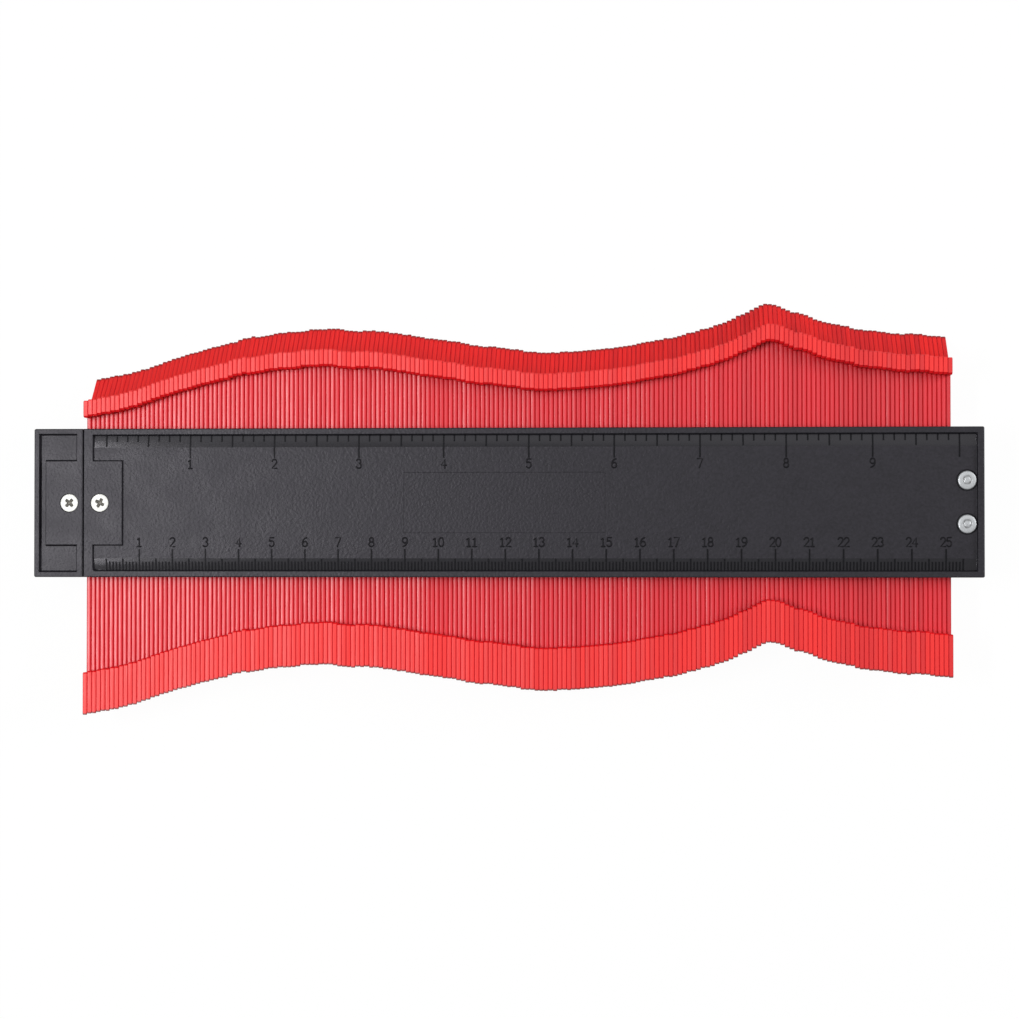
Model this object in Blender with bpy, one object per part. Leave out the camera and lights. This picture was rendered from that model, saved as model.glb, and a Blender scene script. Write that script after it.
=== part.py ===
"""Contour gauge: a stack of sliding plastic leaves held between two ruler-faced shells.

X runs along the ruler, Y along the leaves' travel and Z up out of the ruler's front face.
The origin is the middle of the footprint, on the surface that the gauge lies on.
All sizes are in metres.
"""

import math
import random

import bmesh
import bpy
from mathutils import Matrix, Vector

# The leaves, side by side along X. Each slides along Y between its two heads.
LEAF_COUNT = 189
LEAVES_PER_PACK = 4
LEAF_THICKNESS = 0.00128
LEAF_GAP = 0.00009
LEAF_TRAVEL = 0.032
LEAF_STOP_GAP = 0.0001
SHAFT_WIDTH = 0.008
HEAD_LENGTH = 0.013
HEAD_BAND_LENGTH = 0.0051
PROBE_ROOT_OFFSET = 0.0005
PACK_TIE_LENGTH = 0.0095

# The outline that the leaves were last pressed to: place along X, and how far the leaf stands from centre.
PRESSED_OUTLINE = (
    (-0.1280, -0.0128),
    (-0.1120, -0.0096),
    (-0.1000, -0.0056),
    (-0.0850, -0.0014),
    (-0.0700, 0.0013),
    (-0.0570, 0.0024),
    (-0.0370, 0.0013),
    (-0.0100, -0.0024),
    (0.0120, -0.0047),
    (0.0280, -0.0041),
    (0.0470, -0.0011),
    (0.0660, 0.0040),
    (0.0785, 0.0095),
    (0.0870, 0.0069),
    (0.0960, 0.0040),
    (0.1100, 0.0013),
    (0.1330, -0.0010),
)

# How far the leaves settled off that curve, in groups that moved together and leaf by leaf.
GROUP_SETTLING = 0.00028
LEAF_SETTLING = 0.00014
SETTLING_SEED = 7

# The housing: two shells, the end wall moulded on each, and the end block that closes the stack.
HOUSING_DEPTH = 0.0445
HOUSING_THICKNESS = 0.0186
END_BLOCK_LENGTH = 0.01475
END_WALL_LENGTH = 0.00915
CORNER_RADIUS = 0.0005
EDGE_CHAMFER = 0.00025
HEAD_INSET = 0.0003

# The ruler face, sunk inside a rim, with a graduated strip that falls away towards each long rim.
# The walls round every sunk face lean by the mould's draft, and rims and pads are measured at their tops.
FACE_RECESS = 0.0010
LONG_RIM = 0.00175
JOINT_RIM = 0.0028
FAR_RIM = 0.0019
STRIP_WIDTH = 0.0039
STRIP_FALL = 0.0005
RECESS_FILLET = 0.0009
WALL_DRAFT = math.radians(16)
LABEL_LENGTH = 0.0602
LABEL_DEPTH = 0.0180
LABEL_SINK = 0.0002

# The raised pads that meet across the joint between the end block and the shells.
PAD_DEPTH = 0.0250
SHELL_PAD_LENGTH = 0.01185
BLOCK_PAD_LENGTH = 0.0111
BLOCK_RECESS = 0.0015
BLOCK_RIM = 0.0015
BLOCK_JOINT_RIM = 0.00175

# The joiner plates, let in behind the pads, which hold the end block to the shells.
JOINER_THICKNESS = 0.0015
JOINER_DEPTH = 0.0205
JOINER_REACH_BLOCK = 0.0090
JOINER_REACH_SHELL = 0.0100
JOINER_CORNER = 0.0010

# Countersunk screws through the pads, and rivets through the end wall.
BLOCK_SCREW_OFFSET = 0.0041
SHELL_SCREW_OFFSET = 0.00515
SCREW_HEAD_DIAMETER = 0.00535
SCREW_HEAD_LIP = 0.0003
SCREW_SHANK_DIAMETER = 0.0029
SCREW_SINK = 0.0001
RIVET_INSET = 0.0050
RIVET_SPACING = 0.0129
RIVET_SHANK_DIAMETER = 0.0030
RIVET_HEAD_DIAMETER = 0.0056
RIVET_HEAD_HEIGHT = 0.0012
RIVET_HEAD_ROUND = 0.0005
RIVET_SEAT_SINK = 0.0006
RIVET_SEAT_MARGIN = 0.0004
RIVET_DIMPLE_DIAMETER = 0.0018
RIVET_DIMPLE_SINK = 0.0005

# Clearances.
SLIDE_CLEARANCE = 0.0002
STACK_CLEARANCE = 0.0001
SEAM = 0.0002
FASTENER_CLEARANCE = 0.00015

ROUND_SEGMENTS = 16
FLAT_ANGLE = math.radians(0.05)
CUT_MARGIN = 0.002

# Worked out from the sizes above.
LEAF_PITCH = LEAF_THICKNESS + LEAF_GAP
STACK_LENGTH = LEAF_COUNT * LEAF_PITCH - LEAF_GAP
HOUSING_LENGTH = END_BLOCK_LENGTH + STACK_LENGTH + 2 * STACK_CLEARANCE + END_WALL_LENGTH
HALF_LENGTH = HOUSING_LENGTH / 2
HALF_DEPTH = HOUSING_DEPTH / 2
HALF_THICKNESS = HOUSING_THICKNESS / 2
JOINT_X = END_BLOCK_LENGTH - HALF_LENGTH
STACK_X = JOINT_X + STACK_CLEARANCE
WALL_X = HALF_LENGTH - END_WALL_LENGTH
CHANNEL_HALF = SHAFT_WIDTH / 2 + SLIDE_CLEARANCE
HEAD_HALF = HALF_THICKNESS - HEAD_INSET
SHAFT_HALF = (HOUSING_DEPTH + LEAF_TRAVEL) / 2
LEAF_HALF = SHAFT_HALF + HEAD_LENGTH
FACE_LEVEL = HALF_THICKNESS - FACE_RECESS
JOINER_INNER = CHANNEL_HALF + SEAM / 2
JOINER_OUTER = JOINER_INNER + JOINER_THICKNESS
PACK_COUNT = math.ceil(LEAF_COUNT / LEAVES_PER_PACK)


def clear_scene():
    """Remove every object that the scene starts with."""
    for item in list(bpy.data.objects):
        bpy.data.objects.remove(item, do_unlink=True)


def make_material(name, colour, roughness, metallic=0.0):
    """Return a Principled material of one colour."""
    material = bpy.data.materials.new(name)
    material.use_nodes = True
    shader = material.node_tree.nodes["Principled BSDF"]
    shader.inputs["Base Color"].default_value = (*colour, 1.0)
    shader.inputs["Roughness"].default_value = roughness
    shader.inputs["Metallic"].default_value = metallic
    return material


def mesh_from(shape, name):
    """Turn a finished bmesh into a mesh whose faces point outwards."""
    bmesh.ops.recalc_face_normals(shape, faces=shape.faces)
    mesh = bpy.data.meshes.new(name)
    shape.to_mesh(mesh)
    shape.free()
    return mesh


def place(name, mesh, parent=None, location=(0, 0, 0), rotation=(0, 0, 0)):
    """Add a mesh to the scene as a named object."""
    item = bpy.data.objects.new(name, mesh)
    item.location = location
    item.rotation_euler = rotation
    item.parent = parent
    bpy.context.collection.objects.link(item)
    return item


def finish(name, mesh, material, parent, location=(0, 0, 0), rotation=(0, 0, 0)):
    """Place a finished piece and give it its material, shaded smooth where it is round."""
    mesh.materials.clear()
    mesh.materials.append(material)
    mesh.shade_smooth()
    mesh.set_sharp_from_angle(angle=math.radians(30))
    return place(name, mesh, parent, location, rotation)


def prism(outline, start, end, along="X"):
    """Extrude a closed outline into a solid.

    The outline lies across the axis it is extruded along: (y, z) points for X and (x, y) points for Z.
    """
    shape = bmesh.new()
    if along == "X":
        points = [Vector((start, a, b)) for a, b in outline]
        reach = Vector((end - start, 0, 0))
    else:
        points = [Vector((a, b, start)) for a, b in outline]
        reach = Vector((0, 0, end - start))
    face = shape.faces.new([shape.verts.new(point) for point in points])
    lifted = bmesh.ops.extrude_face_region(shape, geom=[face])["geom"]
    corners = [part for part in lifted if isinstance(part, bmesh.types.BMVert)]
    bmesh.ops.translate(shape, verts=corners, vec=reach)
    bmesh.ops.recalc_face_normals(shape, faces=shape.faces)
    return shape


def rectangle(low, high):
    """Return the corners of an upright rectangle, counter-clockwise."""
    return [(low[0], low[1]), (high[0], low[1]), (high[0], high[1]), (low[0], high[1])]


def block(low, high):
    """Return a rectangular solid between two opposite corners."""
    return prism(rectangle(low[:2], high[:2]), low[2], high[2], along="Z")


def turned(profile):
    """Spin a profile of (radius, height) points, which starts and ends on the axis, about Z."""
    shape = bmesh.new()
    points = [shape.verts.new((radius, 0, height)) for radius, height in profile]
    edges = [shape.edges.new(pair) for pair in zip(points, points[1:])]
    bmesh.ops.spin(
        shape,
        geom=points + edges,
        cent=(0, 0, 0),
        axis=(0, 0, 1),
        angle=2 * math.pi,
        steps=ROUND_SEGMENTS,
        use_merge=True,
    )
    bmesh.ops.remove_doubles(shape, verts=shape.verts, dist=1e-6)
    bmesh.ops.dissolve_limit(shape, angle_limit=FLAT_ANGLE, verts=shape.verts, edges=shape.edges)
    return shape


def upright_edges(shape, x, y):
    """Return the edges of a shape that stand along Z at one place, where x or y may be None for any."""
    found = []
    for edge in shape.edges:
        a, b = (vert.co for vert in edge.verts)
        stands = abs(a.z - b.z) > 1e-5 and (a.xy - b.xy).length < 1e-6
        if stands and (x is None or abs(a.x - x) < 1e-5) and (y is None or abs(a.y - y) < 1e-5):
            found.append(edge)
    return found


def round_edges(shape, edges, radius, segments=3):
    """Round some edges of a shape."""
    bmesh.ops.bevel(
        shape, geom=edges, offset=radius, offset_type="OFFSET", segments=segments, profile=0.5, affect="EDGES"
    )


def chamfer_face_rim(shape, level):
    """Chamfer the edges that bound a shape's flat faces at one height."""
    rim = [
        edge
        for edge in shape.edges
        if all(abs(vert.co.z - level) < 1e-6 for vert in edge.verts)
        and any(abs(face.normal.z) < 0.5 for face in edge.link_faces)
    ]
    bmesh.ops.bevel(shape, geom=rim, offset=EDGE_CHAMFER, offset_type="OFFSET", segments=1, affect="EDGES")


def cut(mesh, cutters, name):
    """Return a mesh with each cutting shape taken out of it."""
    body = place(name, mesh)
    tools = []
    for number, shape in enumerate(cutters):
        tool = place(f"{name}_cutter_{number}", mesh_from(shape, f"{name}_cutter_{number}"))
        tool.hide_render = True
        tool.display_type = "WIRE"
        cutting = body.modifiers.new(tool.name, "BOOLEAN")
        cutting.operation = "DIFFERENCE"
        cutting.solver = "EXACT"
        cutting.object = tool
        tools.append(tool)
    bpy.context.view_layer.update()
    shown = body.evaluated_get(bpy.context.evaluated_depsgraph_get())
    result = bpy.data.meshes.new_from_object(shown)
    result.name = name
    for item in (body, *tools):
        bpy.data.objects.remove(item, do_unlink=True)
    return result


def turned_over(shape):
    """Turn a shape half way round about X, to serve the housing's other side."""
    bmesh.ops.rotate(shape, verts=shape.verts, cent=(0, 0, 0), matrix=Matrix.Rotation(math.pi, 3, "X"))
    return shape


def moved(shape, x=0.0, y=0.0, z=0.0):
    """Move a shape and return it."""
    bmesh.ops.translate(shape, verts=shape.verts, vec=Vector((x, y, z)))
    return shape


# The leaves


def pressed_position(x):
    """Return how far the leaf at x stands from centre: a smooth curve through the pressed outline."""
    knots = PRESSED_OUTLINE
    x = min(max(x, knots[0][0]), knots[-1][0])
    last = len(knots) - 2
    k = next(i for i in range(last + 1) if x <= knots[i + 1][0] or i == last)
    before, start, end, after = knots[max(k - 1, 0)], knots[k], knots[k + 1], knots[min(k + 2, last + 1)]
    span = end[0] - start[0]
    slope_in = (end[1] - before[1]) / (end[0] - before[0]) * span
    slope_out = (after[1] - start[1]) / (after[0] - start[0]) * span
    t = (x - start[0]) / span
    return (
        (2 * t**3 - 3 * t**2 + 1) * start[1]
        + (t**3 - 2 * t**2 + t) * slope_in
        + (3 * t**2 - 2 * t**3) * end[1]
        + (t**3 - t**2) * slope_out
    )


def leaf_positions(pack):
    """Return, for each leaf of a pack, its left side's x and how far it stands from centre.

    A leaf's heads stop it at the housing, so it never stands further out than its travel allows.
    """
    reach = LEAF_TRAVEL / 2 - LEAF_STOP_GAP
    first = pack * LEAVES_PER_PACK
    chance = random.Random(SETTLING_SEED + pack)
    group = chance.uniform(-GROUP_SETTLING, GROUP_SETTLING)
    leaves = []
    for number in range(first, min(first + LEAVES_PER_PACK, LEAF_COUNT)):
        left = STACK_X + number * LEAF_PITCH
        settled = group + chance.uniform(-LEAF_SETTLING, LEAF_SETTLING)
        position = pressed_position(left + LEAF_THICKNESS / 2) + settled
        leaves.append((left, min(max(position, -reach), reach)))
    return leaves


def pack_centre(leaves):
    """Return the middle of a pack: its x, and half way between its furthest leaves."""
    positions = [position for _, position in leaves]
    x = (leaves[0][0] + leaves[-1][0] + LEAF_THICKNESS) / 2
    return x, (min(positions) + max(positions)) / 2


def leaf_faces(shape, x, offset):
    """Draw a leaf's side view as three faces: its head, the tied stretch of its shaft, and its tail.

    The head has a flat band in front, steps back past the middle and slopes to the probing tip at the
    back. The tail is the head turned half way round, so the leaf reads the same from either side.
    """
    half_shaft = SHAFT_WIDTH / 2
    half_tie = PACK_TIE_LENGTH / 2 - offset, PACK_TIE_LENGTH / 2 + offset
    band_end = SHAFT_HALF + HEAD_BAND_LENGTH
    head = [
        (SHAFT_HALF, half_shaft),
        (SHAFT_HALF, HEAD_HALF),
        (band_end, HEAD_HALF),
        (band_end, -PROBE_ROOT_OFFSET),
        (LEAF_HALF, -HEAD_HALF),
        (SHAFT_HALF, -HEAD_HALF),
        (SHAFT_HALF, -half_shaft),
    ]
    tail = [(-y, -z) for y, z in head]

    def corner(y, z):
        return shape.verts.new((x, y + offset, z))

    head_corners = [corner(y, z) for y, z in head]
    tail_corners = [corner(y, z) for y, z in tail]
    back_high, back_low = corner(half_tie[0], -half_shaft), corner(-half_tie[1], -half_shaft)
    front_low, front_high = corner(-half_tie[1], half_shaft), corner(half_tie[0], half_shaft)
    return (
        shape.faces.new([front_high, *head_corners, back_high]),
        shape.faces.new([front_high, back_high, back_low, front_low]),
        shape.faces.new([back_low, *tail_corners, front_low]),
    )


def leaf_pack_mesh(leaves, centre, name):
    """Build the leaves of one pack.

    Each is an extruded side view. They are apart by the running gap, and are joined face to face only on
    the short stretch that the housing hides wherever the pack slides.
    """
    shape = bmesh.new()
    open_tie = None
    for number, (left, position) in enumerate(leaves):
        faces = leaf_faces(shape, left - centre[0], position - centre[1])
        lifted = bmesh.ops.extrude_face_region(shape, geom=list(faces))["geom"]
        corners = [part for part in lifted if isinstance(part, bmesh.types.BMVert)]
        bmesh.ops.translate(shape, verts=corners, vec=(LEAF_THICKNESS, 0, 0))
        if open_tie is not None:
            facing = [open_tie, faces[1]]
            loops = [edge for face in facing for edge in face.edges]
            bmesh.ops.delete(shape, geom=facing, context="FACES_ONLY")
            bmesh.ops.bridge_loops(shape, edges=loops)
        ties = [part for part in lifted if isinstance(part, bmesh.types.BMFace) and len(part.verts) == 4]
        open_tie = ties[0] if number < len(leaves) - 1 else None
    bmesh.ops.dissolve_limit(shape, angle_limit=FLAT_ANGLE, verts=shape.verts, edges=shape.edges)
    return mesh_from(shape, name)


def make_leaf_packs(parent, material):
    """Make every pack of leaves, each with its origin on the line it slides along."""
    for pack in range(PACK_COUNT):
        name = f"leaf_pack_{pack + 1:02d}"
        leaves = leaf_positions(pack)
        centre = pack_centre(leaves)
        mesh = leaf_pack_mesh(leaves, centre, name)
        finish(name, mesh, material, parent, location=(centre[0], centre[1], 0))


# Fasteners


def countersink_depth():
    """Return how deep the screw head's 90 degree cone goes below its lip."""
    return (SCREW_HEAD_DIAMETER - SCREW_SHANK_DIAMETER) / 2


def screw_mesh(name):
    """Build a countersunk screw that hangs down from z = 0, long enough to end flush in the joiner plate."""
    head = SCREW_HEAD_DIAMETER / 2
    shank = SCREW_SHANK_DIAMETER / 2
    cone_end = SCREW_HEAD_LIP + countersink_depth()
    length = HALF_THICKNESS - SCREW_SINK - JOINER_INNER
    profile = [(0, 0), (head, 0), (head, -SCREW_HEAD_LIP), (shank, -cone_end), (shank, -length), (0, -length)]
    return mesh_from(turned(profile), name)


def screw_hole(x):
    """Return the cutter of a countersunk hole down to the joiner plate's pocket."""
    head = SCREW_HEAD_DIAMETER / 2 + FASTENER_CLEARANCE
    shank = SCREW_SHANK_DIAMETER / 2 + FASTENER_CLEARANCE
    lip = SCREW_SINK + SCREW_HEAD_LIP + FASTENER_CLEARANCE
    top = HALF_THICKNESS
    profile = [
        (0, top + CUT_MARGIN),
        (head, top + CUT_MARGIN),
        (head, top - lip),
        (shank, top - lip - countersink_depth()),
        (shank, JOINER_OUTER - SEAM),
        (0, JOINER_OUTER - SEAM),
    ]
    return moved(turned(profile), x=x)


def rivet_mesh(name):
    """Build a rivet centred on z = 0: a plain rear head, and a front head peened round a dimple."""
    shank = RIVET_SHANK_DIAMETER / 2
    head = RIVET_HEAD_DIAMETER / 2
    dimple = RIVET_DIMPLE_DIAMETER / 2
    seat = FACE_LEVEL - RIVET_SEAT_SINK + FASTENER_CLEARANCE
    top = seat + RIVET_HEAD_HEIGHT
    shoulder = top - RIVET_HEAD_ROUND
    profile = [
        (0, top - RIVET_DIMPLE_SINK),
        (dimple, top),
        (head - RIVET_HEAD_ROUND, top),
        (head, shoulder),
        (head, seat),
        (shank, seat),
        (shank, -seat),
        (head, -seat),
        (head, -shoulder),
        (head - RIVET_HEAD_ROUND, -top),
        (0, -top),
    ]
    return mesh_from(turned(profile), name)


def rivet_hole(x, y):
    """Return the cutter of a rivet's hole through one shell's end wall, with the seat for its head."""
    seat = RIVET_HEAD_DIAMETER / 2 + RIVET_SEAT_MARGIN
    shank = RIVET_SHANK_DIAMETER / 2 + FASTENER_CLEARANCE
    profile = [
        (0, HALF_THICKNESS + CUT_MARGIN),
        (seat, HALF_THICKNESS + CUT_MARGIN),
        (seat, FACE_LEVEL - RIVET_SEAT_SINK),
        (shank, FACE_LEVEL - RIVET_SEAT_SINK),
        (shank, -CUT_MARGIN),
        (0, -CUT_MARGIN),
    ]
    return moved(turned(profile), x=x, y=y)


def rivet_places():
    """Return the x and y of each rivet."""
    x = HALF_LENGTH - RIVET_INSET
    return {"upper": (x, RIVET_SPACING / 2), "lower": (x, -RIVET_SPACING / 2)}


# The joiner plates and the pockets they sit in


def joiner_mesh(name):
    """Build the plate that ties the end block to a shell, drilled for a screw on each side of the joint."""
    low = (JOINT_X - JOINER_REACH_BLOCK, -JOINER_DEPTH / 2, JOINER_INNER)
    high = (JOINT_X + JOINER_REACH_SHELL, JOINER_DEPTH / 2, JOINER_OUTER)
    plate = block(low, high)
    round_edges(plate, upright_edges(plate, None, None), JOINER_CORNER, segments=2)
    radius = SCREW_SHANK_DIAMETER / 2 + FASTENER_CLEARANCE
    high_end, low_end = JOINER_OUTER + CUT_MARGIN, JOINER_INNER - CUT_MARGIN
    bore = [(0, high_end), (radius, high_end), (radius, low_end), (0, low_end)]
    holes = [moved(turned(bore), x=x) for x in screw_places().values()]
    return cut(mesh_from(plate, name), holes, name)


def joiner_pocket(low_x, high_x, low_z):
    """Return the cutter of a pocket for the joiner plate, between two places along X."""
    half = JOINER_DEPTH / 2 + SEAM
    return block((low_x, -half, low_z), (high_x, half, JOINER_OUTER + SEAM))


def screw_places():
    """Return the x of the screw in the end block and of the one in the shell."""
    return {"end_block": JOINT_X - BLOCK_SCREW_OFFSET, "shell": JOINT_X + SHELL_SCREW_OFFSET}


# The housing


def lean_walls(shape, sense=1):
    """Lean a shape's walls by the draft about the level of the housing's face, and return the shape.

    A sense of 1 leans them outwards as they rise, as round a sunk face, and -1 inwards, as round a pad.
    """
    middle = (min(vert.co.x for vert in shape.verts) + max(vert.co.x for vert in shape.verts)) / 2
    for vert in shape.verts:
        lean = sense * (vert.co.z - HALF_THICKNESS) * math.tan(WALL_DRAFT)
        vert.co.x += math.copysign(1, vert.co.x - middle) * lean
        vert.co.y += math.copysign(1, vert.co.y) * lean
    return shape


def sunk_face(low_x, high_x, pad_low, pad_high, cutter_name):
    """Return the cutter of a shell's ruler face: a floor, two falling strips, and the pad left standing."""
    rim = HALF_DEPTH - LONG_RIM
    floor = rim - STRIP_WIDTH + FACE_RECESS * math.tan(WALL_DRAFT)
    high = HALF_THICKNESS + CUT_MARGIN
    low = FACE_LEVEL - STRIP_FALL
    outline = [
        (-rim, high),
        (-rim, low),
        (-floor, FACE_LEVEL),
        (floor, FACE_LEVEL),
        (rim, low),
        (rim, high),
    ]
    face = prism(outline, low_x, high_x)
    round_edges(face, upright_edges(face, low_x, -rim), RECESS_FILLET)
    pad = block((pad_low, -PAD_DEPTH / 2, 0), (pad_high, PAD_DEPTH / 2, high + CUT_MARGIN))
    lean_walls(pad, sense=-1)
    result = bmesh.new()
    result.from_mesh(cut(mesh_from(lean_walls(face), cutter_name), [pad], cutter_name))
    return result


def shell_mesh():
    """Build one half of the housing: a ruler-faced plate with half of the end wall standing behind it."""
    near = JOINT_X + SEAM
    outline = [
        (near, CHANNEL_HALF),
        (WALL_X, CHANNEL_HALF),
        (WALL_X, SEAM / 2),
        (HALF_LENGTH, SEAM / 2),
        (HALF_LENGTH, HALF_THICKNESS),
        (near, HALF_THICKNESS),
    ]
    shell = prism(outline, -HALF_DEPTH, HALF_DEPTH, along="Z")
    bmesh.ops.rotate(shell, verts=shell.verts, cent=(0, 0, 0), matrix=Matrix.Rotation(math.pi / 2, 3, "X"))
    bmesh.ops.recalc_face_normals(shell, faces=shell.faces)
    round_edges(shell, upright_edges(shell, HALF_LENGTH, None), CORNER_RADIUS)
    chamfer_face_rim(shell, HALF_THICKNESS)
    pad_end = JOINT_X + SHELL_PAD_LENGTH
    cutters = [
        sunk_face(near + JOINT_RIM, HALF_LENGTH - FAR_RIM, near - CUT_MARGIN, pad_end, "ruler_face"),
        block(
            (-LABEL_LENGTH / 2, -LABEL_DEPTH / 2, FACE_LEVEL - LABEL_SINK),
            (LABEL_LENGTH / 2, LABEL_DEPTH / 2, HALF_THICKNESS),
        ),
        joiner_pocket(near - CUT_MARGIN, JOINT_X + JOINER_REACH_SHELL + SEAM, CHANNEL_HALF - CUT_MARGIN),
        screw_hole(screw_places()["shell"]),
        *(rivet_hole(x, y) for x, y in rivet_places().values()),
    ]
    return cut(mesh_from(shell, "shell"), cutters, "shell")


def block_face():
    """Return the cutter of the end block's sunk face, with the block's pad left standing."""
    low_x = -HALF_LENGTH + BLOCK_RIM
    high_x = JOINT_X - BLOCK_JOINT_RIM
    half = HALF_DEPTH - BLOCK_RIM
    low, high = HALF_THICKNESS - BLOCK_RECESS, HALF_THICKNESS + CUT_MARGIN
    face = lean_walls(block((low_x, -half, low), (high_x, half, high)))
    pad_low = (JOINT_X - BLOCK_PAD_LENGTH, -PAD_DEPTH / 2, 0)
    pad = lean_walls(block(pad_low, (JOINT_X, PAD_DEPTH / 2, high + CUT_MARGIN)), sense=-1)
    result = bmesh.new()
    result.from_mesh(cut(mesh_from(face, "block_face"), [pad], "block_face"))
    return result


def end_block_mesh():
    """Build the block that closes the housing's near end, the same on its front and its back."""
    body = block((-HALF_LENGTH, -HALF_DEPTH, -HALF_THICKNESS), (JOINT_X, HALF_DEPTH, HALF_THICKNESS))
    round_edges(body, upright_edges(body, -HALF_LENGTH, None), CORNER_RADIUS)
    chamfer_face_rim(body, HALF_THICKNESS)
    chamfer_face_rim(body, -HALF_THICKNESS)
    cutters = []
    for flip in (lambda shape: shape, turned_over):
        pocket = joiner_pocket(JOINT_X - JOINER_REACH_BLOCK - SEAM, JOINT_X + CUT_MARGIN, JOINER_INNER - SEAM)
        cutters.append(flip(block_face()))
        cutters.append(flip(pocket))
        cutters.append(flip(screw_hole(screw_places()["end_block"])))
    return cut(mesh_from(body, "end_block"), cutters, "end_block")


def make_housing(parent, plastic):
    """Make the two shells, which are one moulding turned over, and the end block."""
    shell = shell_mesh()
    finish("front_shell", shell, plastic["front_shell"], parent)
    finish("rear_shell", shell.copy(), plastic["rear_shell"], parent, rotation=(math.pi, 0, 0))
    finish("end_block", end_block_mesh(), plastic["end_block"], parent)


def make_fastenings(parent, steel, screw_metal, rivet_metal):
    """Make the joiner plates, the screws on both faces, and the rivets through the end wall."""
    for side, turn in (("front", 0), ("rear", math.pi)):
        name = f"{side}_joiner_plate"
        finish(name, joiner_mesh(name), steel, parent, rotation=(turn, 0, 0))
        height = (HALF_THICKNESS - SCREW_SINK) * math.cos(turn)
        for seat, x in screw_places().items():
            name = f"{side}_{seat}_screw"
            location = (x, 0, height)
            finish(name, screw_mesh(name), screw_metal, parent, location=location, rotation=(turn, 0, 0))
    for side, (x, y) in rivet_places().items():
        name = f"{side}_rivet"
        finish(name, rivet_mesh(name), rivet_metal, parent, location=(x, y, 0))


def footprint_centre():
    """Return the middle of the stretch along Y that the leaves cover, seen from the housing's centre."""
    positions = [position for pack in range(PACK_COUNT) for _, position in leaf_positions(pack)]
    return (max(positions) + min(positions)) / 2


def main():
    """Build the gauge."""
    clear_scene()
    root = place("gauge", None, location=(0, -footprint_centre(), HALF_THICKNESS))
    mouldings = ("front_shell", "rear_shell", "end_block")
    plastic = {name: make_material(name, (0.055, 0.056, 0.062), 0.62) for name in mouldings}
    make_housing(root, plastic)
    make_fastenings(
        root,
        make_material("zinc_steel", (0.52, 0.53, 0.55), 0.4, 1.0),
        make_material("bright_screw", (0.86, 0.86, 0.88), 0.28, 1.0),
        make_material("aluminium_rivet", (0.74, 0.75, 0.76), 0.42, 1.0),
    )
    make_leaf_packs(root, make_material("red_leaf", (0.78, 0.045, 0.055), 0.4))


main()
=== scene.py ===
"""Looks of a contour gauge: red leaves in a charcoal housing with a moulded ruler on each face.

X runs along the ruler, Y along the leaves' travel and Z up out of the front face. Lengths are in
metres, written as millimetres times MM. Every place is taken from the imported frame.
"""

import logging
import math
from dataclasses import dataclass
from enum import Enum
from typing import Mapping, Sequence

import bmesh
import bpy
import numpy as np
from mathutils import Matrix, Vector


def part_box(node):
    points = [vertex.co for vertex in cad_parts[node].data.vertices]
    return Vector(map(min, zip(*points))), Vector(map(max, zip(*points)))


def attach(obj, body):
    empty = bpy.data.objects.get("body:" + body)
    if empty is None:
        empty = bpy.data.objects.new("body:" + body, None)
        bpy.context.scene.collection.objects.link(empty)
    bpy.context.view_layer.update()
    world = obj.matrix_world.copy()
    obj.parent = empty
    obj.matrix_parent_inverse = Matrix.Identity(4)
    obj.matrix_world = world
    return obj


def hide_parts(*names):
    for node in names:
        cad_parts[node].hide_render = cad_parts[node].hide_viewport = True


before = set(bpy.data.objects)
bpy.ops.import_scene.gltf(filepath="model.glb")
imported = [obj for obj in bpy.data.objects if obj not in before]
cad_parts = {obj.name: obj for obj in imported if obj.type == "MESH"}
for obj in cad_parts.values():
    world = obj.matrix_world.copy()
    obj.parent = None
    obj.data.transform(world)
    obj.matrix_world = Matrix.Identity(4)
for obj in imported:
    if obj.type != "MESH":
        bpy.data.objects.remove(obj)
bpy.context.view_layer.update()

LOG = logging.getLogger("contour_gauge")
MM = 0.001
HAIR = 0.02 * MM
HOUSING_BODY = "housing"
# How far a fastener's metal is darkened: painted shade in a screw's recess, a darker peening mark on a rivet
SHADE_AND_DARK_MARK = "grime"
# Each leaf's random tone together with the painted shade on its roundings, in the grooves between leaves
LEAF_TONE_AND_SHADE = "leaf_tone_and_shade"
# Which points are near a leaf's tip, where shade is painted
NEAR_TIP = "near_tip"

Array = np.ndarray
Piece = bpy.types.Object
Material = bpy.types.Material
Socket = bpy.types.NodeSocket
Triple = tuple[float, float, float]
Colour = Triple
Span = tuple[float, float]
Shape = tuple[Array, list[Array]]
Inputs = Mapping[str | int, float | Triple | Socket]

EVENLY: Triple = (1.0, 1.0, 1.0)
WHITE: Colour = (1.0, 1.0, 1.0)
CHARCOAL_SHEEN: Colour = (0.96, 0.93, 1.0)
NOISE_SPAN: Span = (0.3, 0.7)

# Where a mix node has its sockets for colours
MIX_FIRST, MIX_SECOND, MIX_RESULT = 6, 7, 2


class Side(Enum):
    """The gauge's two faces; the value is the sense of the face's outward direction along Z."""

    FRONT = 1
    REAR = -1


class LeafZone(Enum):
    """A leaf's surfaces that look different; the value is the surface's material slot."""

    SHAFT = 0
    HEAD = 1
    SLOPE = 2
    SHOULDER = 3
    GROOVE = 4


# Meshes from whole arrays


def add_object(name: str, data: bpy.types.ID) -> Piece:
    """Make an object of a mesh, a lamp or a camera, linked to the scene at the origin."""
    made = bpy.data.objects.new(name, data)
    bpy.context.scene.collection.objects.link(made)
    return made


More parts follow.
